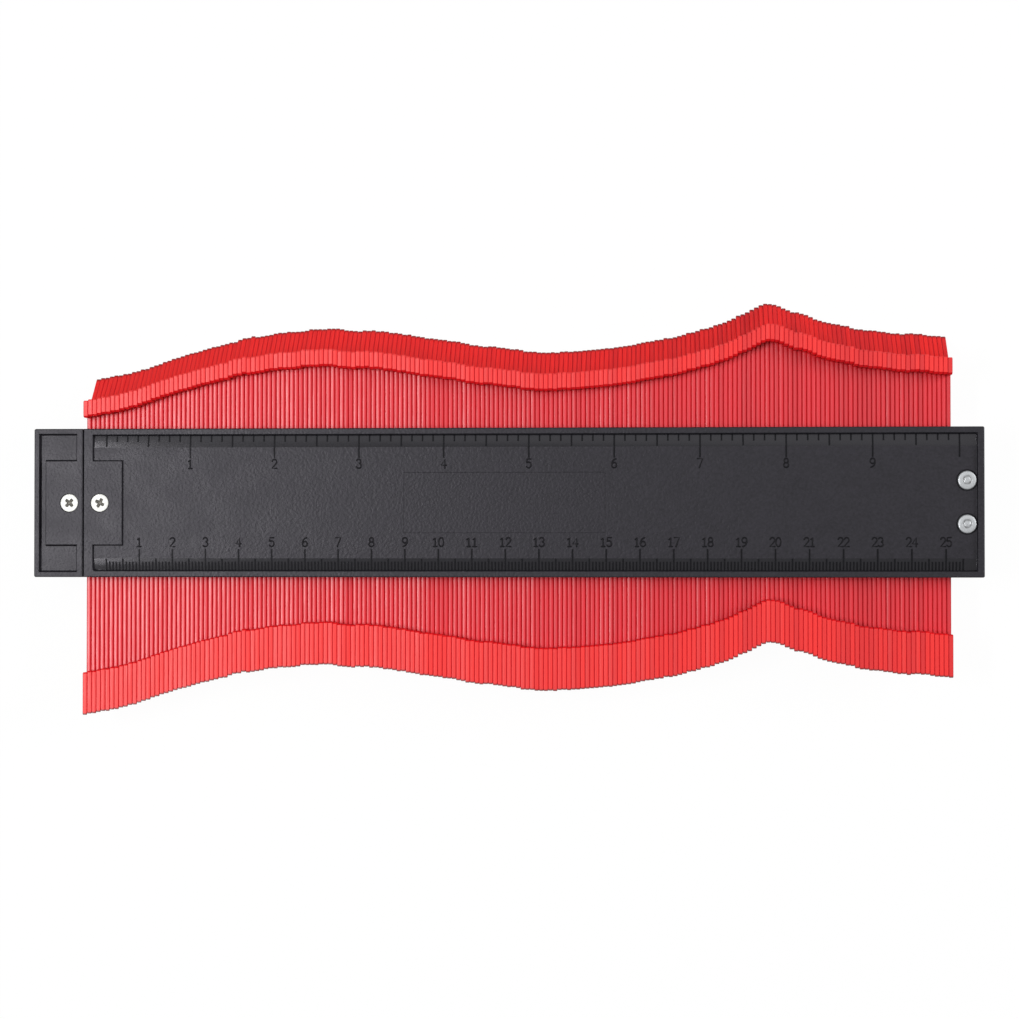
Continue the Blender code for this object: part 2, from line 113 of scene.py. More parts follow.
def build_piece(name: str, points: Array, faces: Sequence[Array]) -> Piece:
    """Make a mesh object from arrays of points and polygons.

    The polygons are all turned round if the volume they enclose, the sum over their fans of
    p0 . (p1 x p2) / 6, comes out negative, so that they point outwards.

    Args:
        name: The piece's name.
        points: One point a row.
        faces: Arrays of corner indices, one polygon a row, each array for one number of corners.

    Returns:
        The object.
    """
    volume = 0.0
    for block in faces:
        first, rest = points[block[:, 0]], points[block[:, 1:]]
        volume += np.einsum("ij,ikj->", first, np.cross(rest[:, :-1], rest[:, 1:]))
    if volume < 0:
        faces = [block[:, ::-1] for block in faces]
    sizes = np.concatenate([np.full(len(block), block.shape[1]) for block in faces])
    corners = np.concatenate([block.ravel() for block in faces])
    mesh = bpy.data.meshes.new(name)
    mesh.vertices.add(len(points))
    mesh.vertices.foreach_set("co", points.astype(np.float32).ravel())
    mesh.loops.add(len(corners))
    mesh.loops.foreach_set("vertex_index", corners.astype(np.int32))
    mesh.polygons.add(len(sizes))
    mesh.polygons.foreach_set("loop_start", (np.cumsum(sizes) - sizes).astype(np.int32))
    mesh.update(calc_edges=True)
    mesh.validate()
    return add_object(name, mesh)


def loft_faces(rings: int, around: int) -> list[Array]:
    """Polygons of a loft: quads between neighbouring closed rings, and one over each end.

    Args:
        rings: How many rings there are, stored one after another.
        around: How many points each ring has.

    Returns:
        The corner indices of the quads and of the two ends, one polygon a row.
    """
    ring = np.arange(rings - 1)[:, None] * around
    here = np.arange(around)
    after = (here + 1) % around
    quads = [ring + here, ring + after, ring + around + after, ring + around + here]
    return [np.stack(quads, axis=-1).reshape(-1, 4), np.stack([here[::-1], (rings - 1) * around + here])]


def repeat_faces(faces: Sequence[Array], copies: int, stride: int) -> list[Array]:
    """The polygons of one shape, repeated for copies whose points follow each other by a stride."""
    starts = np.arange(copies)[:, None, None] * stride
    return [(block + starts).reshape(-1, block.shape[1]) for block in faces]


def join_shapes(shapes: Sequence[Shape]) -> Shape:
    """Put shapes of the same build into one.

    Args:
        shapes: The shapes, each its points and its arrays of polygons.

    Returns:
        The joined shape.
    """
    sizes = np.array([len(points) for points, _ in shapes])
    starts = np.cumsum(sizes) - sizes
    kinds = zip(*(faces for _, faces in shapes))
    faces = [np.vstack([block + start for block, start in zip(kind, starts)]) for kind in kinds]
    return np.vstack([points for points, _ in shapes]), faces


def unit(vectors: Array) -> Array:
    """Vectors, one a row, scaled to a length of one."""
    return vectors / np.linalg.norm(vectors, axis=1, keepdims=True)


def side_directions(outline: Array) -> Array:
    """The direction of a closed outline's side after each corner."""
    return unit(np.roll(outline, -1, axis=0) - outline)


def offset_outline(outline: Array, distances: Array) -> Array:
    """Move each side of a closed outline inwards by its own distance.

    A corner moves to where its two moved sides meet. With the sides' inward normals n and m,
    their dot product c and their distances d and e, that is ((d - c e) n + (e - c d) m) / (1 - c^2).

    Args:
        outline: Corner points in order, counter-clockwise.
        distances: How far the side after each corner moves inwards.

    Returns:
        The moved outline.
    """
    sides = side_directions(outline)
    after = np.stack([-sides[:, 1], sides[:, 0]], axis=1)
    before = np.roll(after, 1, axis=0)
    dot = np.sum(before * after, axis=1, keepdims=True)
    far, near = distances[:, None], np.roll(distances, 1)[:, None]
    return outline + ((near - dot * far) * before + (far - dot * near) * after) / (1.0 - dot**2)


def cut_corners(outline: Array, cuts: Array) -> Array:
    """Take the points off an outline's corners.

    Each corner becomes two points, its cut away from it along its two sides. A corner whose cut
    is zero stays one point.

    Args:
        outline: Corner points in order.
        cuts: How far each corner is cut back.

    Returns:
        The new outline.
    """
    towards_last = unit(np.roll(outline, 1, axis=0) - outline)
    directions = np.stack([towards_last, side_directions(outline)], axis=1)
    pairs = outline[:, None] + cuts[:, None, None] * directions
    return pairs[np.stack([np.ones(len(outline), bool), cuts > 0], axis=1)]


def smooth_step(value: Array, start: float, end: float) -> Array:
    """Rise smoothly from 0 at start to 1 at end, as 3t^2 - 2t^3."""
    t = np.clip((value - start) / (end - start), 0.0, 1.0)
    return t * t * (3.0 - 2.0 * t)


def even_angles(count: int) -> Array:
    """Even angles round a whole turn, in radians."""
    return np.linspace(0, 2 * math.pi, count, endpoint=False)


def read_rows(rows: bpy.types.bpy_prop_collection, name: str, kind: type, width: int) -> Array:
    """Read as many numbers of a kind as the width says from each row of a mesh's data."""
    values = np.zeros((len(rows), width), kind)
    rows.foreach_get(name, values.reshape(-1))
    return values


def write_attribute(piece: Piece, name: str, domain: str, values: Array) -> None:
    """Give each face or each point of a piece a number that its material reads."""
    attribute = piece.data.attributes.new(name, "FLOAT", domain)
    attribute.data.foreach_set("value", values.astype(np.float32).ravel())


def shade(piece: Piece, sharp_angle: float) -> None:
    """Shade a piece smooth, with large faces flat, so that only small ones between them look round.

    Args:
        piece: The piece.
        sharp_angle: Edges that turn by more than this angle in degrees stay sharp.
    """
    piece.data.shade_smooth()
    piece.data.set_sharp_from_angle(angle=math.radians(sharp_angle))
    piece.modifiers.new("flat_faces", "WEIGHTED_NORMAL").keep_sharp = True


def dress(piece: Piece, materials: Sequence[Material]) -> None:
    """Give a piece its materials."""
    for material in materials:
        piece.data.materials.append(material)


def settle(
    piece: Piece, materials: Sequence[Material], node: str = "", body: str = HOUSING_BODY
) -> None:
    """Dress a finished piece and let it ride on its body.

    Args:
        piece: The piece.
        materials: Its materials.
        node: The node that it replaces, if it replaces one.
        body: The body it rides on.
    """
    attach(piece, body)
    if node:
        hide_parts(node)
    dress(piece, materials)
    LOG.info("%s: %d faces", piece.name, len(piece.data.polygons))


# Finishes


class NodeSketch:
    """A short way to lay out the nodes of a material or a world."""

    def __init__(self, owner: Material | bpy.types.World) -> None:
        """Start from the nodes that the owner has when they are switched on."""
        owner.use_nodes = True
        self.owner = owner
        self.nodes, self.links = owner.node_tree.nodes, owner.node_tree.links

    def feed(self, node: bpy.types.Node, inputs: Inputs) -> None:
        """Set a node's inputs.

        Args:
            node: The node.
            inputs: By name or number, a constant or the output to link.
        """
        for name, value in inputs.items():
            socket = node.inputs[name]
            if isinstance(value, Socket):
                self.links.new(value, socket)
            else:
                socket.default_value = (*value, 1.0) if socket.type == "RGBA" else value

    def add(self, kind: str, inputs: Inputs, output: str | int = 0, **settings: str | bool) -> Socket:
        """Add a node.

        Args:
            kind: The node's kind, as it follows ShaderNode in its type.
            inputs: What its inputs are fed.
            output: The output that is wanted.
            settings: The node's own settings.

        Returns:
            That output.
        """
        node = self.nodes.new(f"ShaderNode{kind}")
        for name, value in settings.items():
            setattr(node, name, value)
        self.feed(node, inputs)
        return node.outputs[output]


class SurfaceSketch(NodeSketch):
    """The nodes of a material that lies on a surface by its Object coordinates."""

    def __init__(self, name: str) -> None:
        """Start a material that has only its shader and its output."""
        super().__init__(bpy.data.materials.new(name))
        self.place = self.add("TexCoord", {}, "Object")

    def noise(self, size: float, detail: float, stretch: Triple = EVENLY) -> Socket:
        """Noise from 0 to 1.

        Args:
            size: About how large its features are, in metres.
            detail: How many finer layers are added.
            stretch: How fast it changes along each axis; under 1 draws its features out.

        Returns:
            The noise's value.
        """
        place = self.add("Mapping", {"Vector": self.place, "Scale": stretch}, "Vector")
        return self.add("TexNoise", {"Vector": place, "Scale": 1.0 / size, "Detail": detail}, "Fac")

    def ramp(self, value: Socket, low: float, high: float, span: Span = NOISE_SPAN) -> Socket:
        """Map a value's span, by default a noise's usual one, onto a range, held at both ends.

        Args:
            value: The value to map.
            low: What the span's start becomes.
            high: What the span's end becomes.
            span: The span.

        Returns:
            The mapped value.
        """
        limits = {"From Min": span[0], "From Max": span[1], "To Min": low, "To Max": high}
        return self.add("MapRange", {"Value": value, **limits}, "Result")

    def wander(self, noise: Socket, middle: float, reach: float) -> Socket:
        """A value that wanders with a noise, by a reach to both sides of its middle."""
        return self.ramp(noise, middle - reach, middle + reach)

    def attribute(self, name: str) -> Socket:
        """The value of one of the mesh's own attributes."""
        return self.add("Attribute", {}, "Fac", attribute_name=name)

    def between(self, share: Socket, first: Colour | Socket, second: Colour) -> Socket:
        """Blend from a first colour where the share is 0 to a second one where it is 1."""
        return self.add("Mix", {0: share, MIX_FIRST: first, MIX_SECOND: second}, MIX_RESULT, data_type="RGBA")

    def bump(self, height: Socket, depth: float) -> Socket:
        """The normal of a surface that a height from 0 to 1 raises by a depth in metres."""
        return self.add("Bump", {"Height": height, "Strength": 1.0, "Distance": depth}, "Normal")

    def finish(self, inputs: Inputs) -> Material:
        """Feed the shader, which makes the material complete."""
        self.feed(self.nodes["Principled BSDF"], inputs)
        return self.owner


@dataclass(frozen=True)
class MouldedCharcoal:
    """The housing's plastic: charcoal black with a fine spark-eroded grain."""

    dark: Colour = (0.002, 0.002, 0.003)
    light: Colour = (0.013, 0.012, 0.016)
    grain_size: float = 0.75 * MM
    grain_detail: float = 3.0
    grain_depth: float = 0.12 * MM
    grain_share: float = 0.65
    smudge_size: float = 9.0 * MM
    smudge_detail: float = 4.0
    smudge_share: float = 0.35
    specular: float = 0.27
    roughness: float = 0.44
    uneven: float = 0.035

    def material(self, name: str) -> Material:
        """Grain in colour, roughness and relief, over broad faint smudges of handling.

        Args:
            name: The material's name.

        Returns:
            The material.
        """
        sketch = SurfaceSketch(name)
        grain = sketch.noise(self.grain_size, self.grain_detail)
        smudge = sketch.noise(self.smudge_size, self.smudge_detail)
        terms = {0: smudge, 1: self.smudge_share, 2: sketch.ramp(grain, 0.0, self.grain_share)}
        tone = sketch.add("Math", terms, operation="MULTIPLY_ADD")
        return sketch.finish(
            {
                "Base Color": sketch.between(tone, self.dark, self.light),
                "Roughness": sketch.wander(smudge, self.roughness, self.uneven),
                "Specular IOR Level": self.specular,
                "Specular Tint": CHARCOAL_SHEEN,
                "Normal": sketch.bump(grain, self.grain_depth),
            }
        )


@dataclass(frozen=True)
class PolishedCharcoal:
    """The same plastic where the mould was polished: by default the graduations and numerals."""

    dark: Colour = (0.003, 0.003, 0.004)
    light: Colour = (0.007, 0.007, 0.008)
    mottle_size: float = 1.2 * MM
    mottle_detail: float = 3.0
    specular: float = 0.08
    roughness: float = 0.455
    uneven: float = 0.02

    def material(self, name: str) -> Material:
        """A darker, smoother surface with a slight mottle.

        Args:
            name: The material's name.

        Returns:
            The material.
        """
        sketch = SurfaceSketch(name)
        mottle = sketch.noise(self.mottle_size, self.mottle_detail)
        return sketch.finish(
            {
                "Base Color": sketch.between(mottle, self.dark, self.light),
                "Roughness": sketch.wander(mottle, self.roughness, self.uneven),
                "Specular IOR Level": self.specular,
                "Specular Tint": CHARCOAL_SHEEN,
            }
        )


STRIP_CHARCOAL = PolishedCharcoal(
    light=(0.010, 0.010, 0.012), mottle_size=0.6 * MM, specular=0.29, roughness=0.185
)


@dataclass(frozen=True)
class RedLeafPlastic:
    """The leaves' bright red plastic on one of their surfaces."""

    base: Colour
    specular: float
    roughness: float
    # The deeper red that the leaf's random tone and the painted shade in its grooves blend towards
    deep: Colour = (0.42, 0.004, 0.010)
    # The painted shade at the tip, and how near the tip it starts
    tip: Colour = (0.10, 0.004, 0.004)
    tip_share: float = 0.955
    streak_width: float = 0.25 * MM
    streak_detail: float = 2.0
    streak_stretch: Triple = (1.0, 0.03, 0.03)
    streak_span: Span = (0.35, 0.75)
    streak_tone: float = 0.12
    relief: float = 0.015 * MM
    uneven: float = 0.05

    def material(self, name: str) -> Material:
        """Red by the leaf's own tone and the painted shade in its grooves, with painted shade at its tip and
        fine moulding streaks along it.

        Args:
            name: The material's name.

        Returns:
            The material.
        """
        sketch = SurfaceSketch(name)
        streaks = sketch.noise(self.streak_width, self.streak_detail, self.streak_stretch)
        streak_tone = sketch.ramp(streaks, 0.0, self.streak_tone, self.streak_span)
        # The leaf's random tone and the painted shade of its grooves, plus the streaks
        tone = sketch.add("Math", {0: sketch.attribute(LEAF_TONE_AND_SHADE), 1: streak_tone}, operation="ADD")
        # Painted shade over the points near the tip
        tip = sketch.ramp(sketch.attribute(NEAR_TIP), 0.0, 1.0, (self.tip_share, 1.0))
        return sketch.finish(
            {
                "Base Color": sketch.between(tip, sketch.between(tone, self.base, self.deep), self.tip),
                "Roughness": sketch.wander(streaks, self.roughness, self.uneven),
                "Specular IOR Level": self.specular,
                "Normal": sketch.bump(streaks, self.relief),
            }
        )


LEAF_FINISHES = {
    LeafZone.SHAFT: RedLeafPlastic((0.63, 0.009, 0.022), specular=0.64, roughness=0.41, streak_tone=0.30),
    LeafZone.HEAD: RedLeafPlastic((0.755, 0.014, 0.011), specular=0.54, roughness=0.50),
    # The slopes take the tip's painted shade further back
    LeafZone.SLOPE: RedLeafPlastic(
        (0.76, 0.010, 0.008), specular=0.19, roughness=0.50, streak_tone=0.35, tip_share=0.88
    ),
    LeafZone.SHOULDER: RedLeafPlastic((0.70, 0.006, 0.009), specular=0.15, roughness=0.50),
    LeafZone.GROOVE: RedLeafPlastic((0.68, 0.008, 0.013), specular=0.17, roughness=0.58),
}


@dataclass(frozen=True)
class PlatedMetal:
    """A metal finish: its colour range, roughness and the size and depth of its fine relief."""

    dark: Colour
    light: Colour
    roughness: float
    relief_size: float = 0.3 * MM
    relief_detail: float = 4.0
    relief_depth: float = 0.01 * MM
    stretch: Triple = EVENLY
    grime: Colour = (0.035, 0.032, 0.030)
    uneven: float = 0.08

    def material(self, name: str) -> Material:
        """Slightly uneven metal with fine handling marks, darkened where the mesh says so: painted shade in a
        screw's recess, a darker peening mark on a rivet.

        Args:
            name: The material's name.

        Returns:
            The material.
        """
        sketch = SurfaceSketch(name)
        marks = sketch.noise(self.relief_size, self.relief_detail, self.stretch)
        undarkened = sketch.between(marks, self.dark, self.light)
        return sketch.finish(
            {
                # The mesh's attribute darkens the metal: painted shade in a screw's recess, a darker peening
                # mark on a rivet
                "Base Color": sketch.between(sketch.attribute(SHADE_AND_DARK_MARK), undarkened, self.grime),
                "Roughness": sketch.wander(marks, self.roughness, self.uneven),
                "Metallic": 1.0,
                "Normal": sketch.bump(marks, self.relief_depth),
            }
        )


# The screws' darker colour is painted shade in their cross recesses; the rivets' default one darkens their
# peening marks
BRIGHT_SCREW = PlatedMetal((0.31, 0.31, 0.30), (0.40, 0.40, 0.38), 0.55, grime=(0.085, 0.080, 0.070))
PEENED_ALUMINIUM = PlatedMetal((0.26, 0.27, 0.28), (0.38, 0.39, 0.40), 0.44, relief_depth=0.02 * MM)
JOINER_STEEL = PlatedMetal((0.45, 0.46, 0.48), (0.62, 0.63, 0.65), 0.40, stretch=(0.05, 1.0, 1.0))


# The leaves


STATIONS = 4


@dataclass
class LeafStack:
    """The stack of leaves. Each pack of the frame is one piece of separate, soft-edged leaves."""

    shaft_half_width: float = 4.0 * MM
    head_length: float = 13.0 * MM
    band_length: float = 5.1 * MM
    probe_root: float = 0.5 * MM
    corner_cut: float = 0.35 * MM
    shoulder_cut: float = 0.58 * MM
    tip_cut: float = 0.45 * MM
    head_round: float = 0.16 * MM
    head_drop: float = 0.22 * MM
    head_crown: float = 4.0
    shaft_round: float = 0.27 * MM
    shaft_drop: float = 0.35 * MM
    shaft_crown: float = 9.0
    uneven_lean: float = 2.5
    closing: float = 0.044 * MM
    even_tone: float = 0.10
    uneven_tone: float = 0.50
    uneven_from: float = -60.0 * MM
    uneven_to: float = 130.0 * MM
    tone_power: float = 1.5
    # How far painted shade deepens the red on the roundings, in the grooves between leaves
    shaft_groove_tone: float = 0.60
    head_groove_tone: float = 0.30
    seed: int = 11

    def leaf_places(self, pack: str) -> Array:
        """Find each leaf of a pack.

        The X values in a pack's mesh are its leaves' left and right sides. The points on a left
        side reach from one tip of that leaf to the other.

        Args:
            pack: The pack's name.

        Returns:
            One row a leaf: its left side, right side, lowest and highest Y.
        """
        points = read_rows(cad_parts[pack].data.vertices, "co", np.float32, 3).astype(float)
        across = np.sort(points[:, 0])
        groups = np.split(across, np.flatnonzero(np.diff(across) > HAIR) + 1)
        sides = np.array([group.mean() for group in groups]).reshape(-1, 2)
        on_side = [points[np.abs(points[:, 0] - left) < HAIR, 1] for left in sides[:, 0]]
        return np.hstack([sides, [(y.min(), y.max()) for y in on_side]])

    def outline(self, half_length: float, half_thickness: float) -> tuple[Array, Array]:
        """Draw a leaf's side view about its middle.

        The head has a flat band in front with a bevelled shoulder towards the shaft, steps back
        past the middle and slopes to the tip. The other end is the same seven corners turned half
        way round, (y, z) to (-y, -z).

        Args:
            half_length: From the middle to a tip.
            half_thickness: From the middle to the head's front.

        Returns:
            The (y, z) points, counter-clockwise, and the zone of the side after each point.
        """
        shaft_end = half_length - self.head_length
        band_end = shaft_end + self.band_length
        out, half_width = half_thickness, self.shaft_half_width
        head_y = [shaft_end, shaft_end, half_length, band_end, band_end, shaft_end, shaft_end]
        head_z = [-half_width, -out, -out, -self.probe_root, out, out, half_width]
        head = np.stack([head_y, head_z], axis=1)
        cuts = np.array([0, self.corner_cut, self.tip_cut, 0, self.corner_cut, self.shoulder_cut, 0])
        points = cut_corners(np.vstack([head, -head]), np.tile(cuts, 2))
        along, away = np.abs(points + np.roll(points, -1, axis=0)).T / 2
        limits = [along < HAIR, along > band_end + HAIR, along < shaft_end + self.shoulder_cut]
        zones = np.select(
            [limit & (away < half_thickness - HAIR) for limit in limits],
            [LeafZone.SHAFT.value, LeafZone.SLOPE.value, LeafZone.SHOULDER.value],
            LeafZone.HEAD.value,
        )
        return points, zones

    def tones(self, x: Array, chance: np.random.Generator) -> Array:
        """How deep each leaf's red is: nearly even at the left, and leaf by leaf at the right."""
        share = smooth_step(x, self.uneven_from, self.uneven_to)
        spread = self.even_tone + (self.uneven_tone - self.even_tone) * share
        return spread * chance.random(len(x)) ** self.tone_power

    def build_pack(self, pack: str, chance: np.random.Generator) -> Piece:
        """Build one pack's leaves.

        A leaf is its outline carried along X through four stations: drawn in by the edge rounding
        at both sides, and full between them. The rounding is wider and deeper along the shaft, so
        that a groove shows between neighbours there, and painted shade deepens the red on the
        roundings, in the grooves. Its sides are closed by the drawn-in outlines.

        Args:
            pack: The pack's name.
            chance: The source of the leaves' tones and leans.

        Returns:
            The piece.
        """
        places = self.leaf_places(pack)
        low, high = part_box(pack)
        half_length = float(np.mean(places[:, 3] - places[:, 2])) / 2
        outline, zones = self.outline(half_length, (high.z - low.z) / 2)
        on_shaft = zones == LeafZone.SHAFT.value
        drawn_in = offset_outline(outline, np.where(on_shaft, self.shaft_drop, self.head_drop))
        rings = np.stack([drawn_in, outline, outline, drawn_in])
        inset = np.where(on_shaft | np.roll(on_shaft, 1), self.shaft_round, self.head_round)
        left, right = places[:, 0] - self.closing, places[:, 1] + self.closing
        leaves, around = len(places), len(outline)
        points = np.empty((leaves, STATIONS, around, 3))
        points[..., 0] = np.stack([left, left, right, right], axis=1)[..., None]
        points[..., 0] += np.array([0, 1, -1, 0])[:, None] * inset
        points[..., 1] = rings[..., 0] + ((places[:, 2] + places[:, 3]) / 2)[:, None, None]
        points[..., 2] = rings[..., 1] + (low.z + high.z) / 2
        stride = STATIONS * around
        faces = repeat_faces(loft_faces(STATIONS, around), leaves, stride)
        piece = build_piece(f"{pack}_leaves", points.reshape(-1, 3), faces)
        tones = self.tones((left + right) / 2, chance)
        # Painted shade: the rounding strips on both sides of each leaf get a deeper red
        groove = np.where(on_shaft, self.shaft_groove_tone, self.head_groove_tone)
        deeper = np.stack([groove, np.zeros(around), groove])
        face_tones_and_shade = np.concatenate([(tones[:, None, None] + deeper).ravel(), np.repeat(tones, 2)])
        rounding = np.full(around, LeafZone.GROOVE.value)
        strips = np.tile(np.concatenate([rounding, zones, rounding]), leaves)
        face_zones = np.concatenate([strips, np.full(2 * leaves, LeafZone.HEAD.value)])
        # The points near each tip, which take the painted shade at the tip
        near_tip = np.abs(outline[:, 0]) > half_length - self.tip_cut - HAIR
        write_attribute(piece, LEAF_TONE_AND_SHADE, "FACE", face_tones_and_shade)
        write_attribute(piece, NEAR_TIP, "POINT", np.resize(near_tip, leaves * stride))
        piece.data.polygons.foreach_set("material_index", face_zones.astype(np.int32))
        self.crown(piece, outline, on_shaft, chance.normal(0.0, self.uneven_lean, leaves))
        return piece

    def crown(self, piece: Piece, outline: Array, on_shaft: Array, leans: Array) -> None:
        """Shade a pack's leaves as slightly crowned across their thickness.

        Every corner of every face gets its own normal. Seen along X it is its side's outward one,
        (dz, -dy) for a side that runs (dy, dz). Towards X it leans out by the crown's angle where
        the flat middle ends and by the rounding's angle where the leaf ends, and by the leaf's own
        small lean. The faces that close a leaf look straight along X.

        Args:
            piece: The pack's piece.
            outline: The leaves' outline.
            on_shaft: Whether the side after each point is the shaft's.
            leans: Each leaf's own lean in degrees.
        """
        mesh, around = piece.data, len(outline)
        sides = side_directions(outline)
        outwards = np.stack([np.zeros(around), sides[:, 1], -sides[:, 0]], axis=1)
        head_edge = math.degrees(math.atan2(self.head_drop, self.head_round))
        shaft_edge = math.degrees(math.atan2(self.shaft_drop, self.shaft_round))
        ends = np.where(on_shaft, shaft_edge, head_edge)
        middles = np.where(on_shaft, self.shaft_crown, self.head_crown)
        profile = np.stack([-ends, -middles, middles, ends])
        counts = read_rows(mesh.polygons, "loop_total", np.int32, 1)[:, 0]
        points = read_rows(mesh.loops, "vertex_index", np.int32, 1)[:, 0]
        face = np.repeat(np.arange(len(counts)), counts)
        ring, side = points // around, face % around
        leaf, station = ring // STATIONS, ring % STATIONS
        lean = np.radians(profile[station, side] + leans[leaf])
        normals = outwards[side] * np.cos(lean)[:, None]
        normals[:, 0] = np.sin(lean)
        closing = face >= len(leans) * (STATIONS - 1) * around
        normals[closing] = 0.0
        normals[closing, 0] = np.where(station[closing] > 0, 1.0, -1.0)
        mesh.shade_smooth()
        mesh.normals_split_custom_set(normals)
        piece.modifiers.new("facets", "TRIANGULATE").keep_custom_normals = True

    def build(self) -> None:
        """Build and dress every pack, in order along the ruler."""
        chance = np.random.default_rng(self.seed)
        materials = [LEAF_FINISHES[zone].material(f"red_leaf_{zone.name.lower()}") for zone in LeafZone]
        for pack in sorted(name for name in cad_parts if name.startswith("leaf_pack_")):
            settle(self.build_pack(pack, chance), materials, pack, pack)


# The housing


@dataclass
class Housing:
    """The two ruler-faced shells and the end block, with every edge softened as a moulding's is."""

    edge_round: float = 0.08 * MM
    edge_steps: int = 2
    weld_distance: float = 0.001 * MM
    flat_angle: float = 0.5
    bevel_angle: float = 30.0
    sharp_angle: float = 60.0
    strip_slope: Span = (0.05, 0.3)
    strip_facing: float = 0.9
    finish: MouldedCharcoal = MouldedCharcoal()
    strip_finish: PolishedCharcoal = STRIP_CHARCOAL

    def soften(self, node: str) -> Piece:
        """Copy a node, merge its loose triangles into flat faces and round its edges.

        Args:
            node: The node's name.

        Returns:
            The piece.
        """
        shape = bmesh.new()
        shape.from_mesh(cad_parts[node].data)
        bmesh.ops.remove_doubles(shape, verts=shape.verts, dist=self.weld_distance)
        flat = math.radians(self.flat_angle)
        bmesh.ops.dissolve_limit(shape, angle_limit=flat, verts=shape.verts, edges=shape.edges)
        mesh = bpy.data.meshes.new(f"{node}_moulding")
        shape.to_mesh(mesh)
        shape.free()
        piece = add_object(mesh.name, mesh)
        bevel = piece.modifiers.new("edge_round", "BEVEL")
        bevel.width = self.edge_round
        bevel.segments = self.edge_steps
        bevel.limit_method = "ANGLE"
        bevel.angle_limit = math.radians(self.bevel_angle)
        bevel.use_clamp_overlap = False
        shade(piece, self.sharp_angle)
        return piece

    def mark_strips(self, piece: Piece) -> None:
        """Pick the second material for the graduated strips, the faces that slope gently across.

        Args:
            piece: The shell's or block's piece.
        """
        across, out = np.abs(read_rows(piece.data.polygons, "normal", np.float32, 3)[:, 1:]).T
        least, most = self.strip_slope
        gentle = (across > least) & (across < most) & (out > self.strip_facing)
        piece.data.polygons.foreach_set("material_index", gentle.astype(np.int32))

    def build(self) -> None:
        """Build and dress the shells and the end block."""
        materials = [self.finish.material("moulded_charcoal"), self.strip_finish.material("strip_charcoal")]
        for node in ("front_shell", "rear_shell", "end_block"):
            piece = self.soften(node)
            settle(piece, materials, node)
            self.mark_strips(piece)


@dataclass(frozen=True)
class Scale:
    """One of the ruler's scales, with the places of its ticks and numbers across the face.

    The sense is 1 on the inch side of the middle line and -1 on the other. A tick starts either at
    a share of the strip's width out from its inner edge, or at a distance from the middle line.
    """

    name: str
    sense: int
    unit: float
    parts: int
    ticks: int
    part_start: float
    half_start: float
    unit_inner: float
    numbers: int
    numbers_low: float


SCALES = (
    Scale("centimetre", -1, 10.0 * MM, 10, 255, 0.25, 0.02, 13.8 * MM, numbers=25, numbers_low=-13.1 * MM),
    Scale("inch", 1, 25.4 * MM, 8, 80, 0.42, 0.05, 13.3 * MM, numbers=9, numbers_low=10.3 * MM),
)


@dataclass
class RulerFace:
    """Where a shell's ruler face lies: its floor, and the strips that fall away towards the long rims.

    The recess has leaning walls, so a strip ends where the wall's foot is, a little inside the rim.
    """

    side: Side
    floor_depth: float = 1.0 * MM
    long_rim: float = 1.75 * MM
    strip_width: float = 3.9 * MM
    strip_fall: float = 0.5 * MM
    wall_draft: float = 16.0
    zero_from_joint: float = 7.02 * MM

    def __post_init__(self) -> None:
        """Read the shell's place from the frame."""
        self.name = self.side.name.lower()
        low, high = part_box(f"{self.name}_shell")
        self.middle_y = (low.y + high.y) / 2
        rim_edge = (high.y - low.y) / 2 - self.long_rim
        wall_lean = math.tan(math.radians(self.wall_draft))
        self.strip_outer = rim_edge - (self.floor_depth + self.strip_fall) * wall_lean
        self.strip_inner = rim_edge - self.strip_width
        self.rim_z = high.z if self.side is Side.FRONT else low.z
        self.zero_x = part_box("end_block")[1].x + self.zero_from_joint

    def depth(self, across: Array) -> Array:
        """How far the face lies below the rim, at a distance across from the ruler's middle line."""
        share = (np.abs(across) - self.strip_inner) / (self.strip_outer - self.strip_inner)
        return self.floor_depth + self.strip_fall * np.clip(share, 0.0, 1.0)

    def to_frame(self, points: Array) -> Array:
        """Put points drawn on the face into the frame.

        A point is (along, across, raised): along from the scale's zero, across from the middle
        line towards the inch scale, and raised from the rim outwards. The rear face is the front
        one turned over about the ruler's long axis.

        Args:
            points: Points drawn on the face, one a row.

        Returns:
            The same points in the frame.
        """
        sense = self.side.value
        return np.array([self.zero_x, self.middle_y, self.rim_z]) + points * (1, sense, sense)

    def add_marks(self, name: str, shapes: Sequence[Shape], sharp_angle: float, material: Material) -> None:
        """Raise marks on the face as one piece of the housing.

        Args:
            name: What the marks are called.
            shapes: Their shapes, drawn on the face.
            sharp_angle: Edges that turn by more than this angle in degrees stay sharp.
            material: Their material.
        """
        points, faces = join_shapes(shapes)
        piece = build_piece(f"{self.name}_{name}", self.to_frame(points), faces)
        shade(piece, sharp_angle)
        settle(piece, [material])


